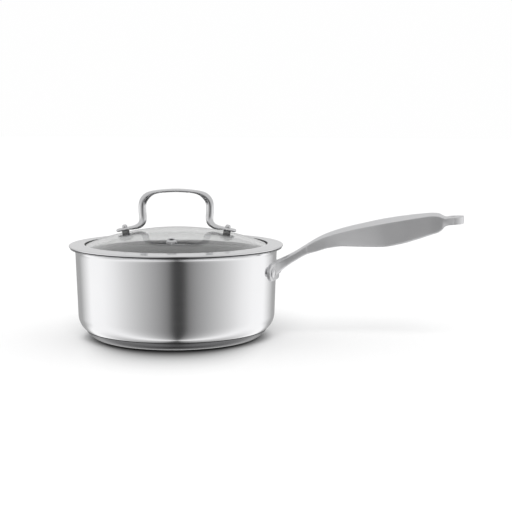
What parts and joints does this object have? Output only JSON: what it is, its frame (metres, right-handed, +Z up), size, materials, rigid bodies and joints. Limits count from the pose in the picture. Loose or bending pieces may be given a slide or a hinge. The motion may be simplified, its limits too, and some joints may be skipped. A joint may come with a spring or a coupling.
{
  "type": "saucepan with glass lid",
  "caption": "Stainless steel saucepan with a long riveted handle and a lift-off domed glass lid with a steel rim, steam vent and bent steel handle.",
  "frame": {"origin": "on the pot's axis at the underside of its base", "axes": "+Z up, +X along the long handle, +Y to the left of the handle"},
  "size_m": [0.3477, 0.19, 0.1323],
  "materials": {
    "polished_steel": "mirror polished stainless steel",
    "satin_steel": "satin bead-blasted stainless steel",
    "base_steel": "satin stainless steel, dulled at the foot",
    "heat_disc": "plain, enclosed",
    "clear_glass": "clear tempered glass",
    "dark_silicone": "matte silicone",
    "pale_silicone": "matte translucent silicone"
  },
  "bodies": {
    "pan": {"pot_body": "polished_steel", "base_core": "heat_disc", "base_cap": "base_steel", "handle_bracket": "satin_steel", "handle_grip": "satin_steel", "handle_rivet_front": "polished_steel", "handle_rivet_rear": "polished_steel"},
    "lid": {"lid_glass": "clear_glass", "lid_ring": "polished_steel", "lid_gasket": "dark_silicone", "vent_eyelet": "polished_steel", "lid_handle": "polished_steel", "lid_rivet_left": "polished_steel", "lid_rivet_right": "polished_steel", "lid_spacer_left": "pale_silicone", "lid_spacer_right": "pale_silicone", "lid_grommet_left": "pale_silicone", "lid_grommet_right": "pale_silicone", "lid_washer_left": "polished_steel", "lid_washer_right": "polished_steel"}
  },
  "joints": [
    {"name": "lid_lift", "type": "slide", "parent": "pan", "child": "lid", "axis": [0, 0, 1], "range_m": [0, 0.12]}
  ]
}
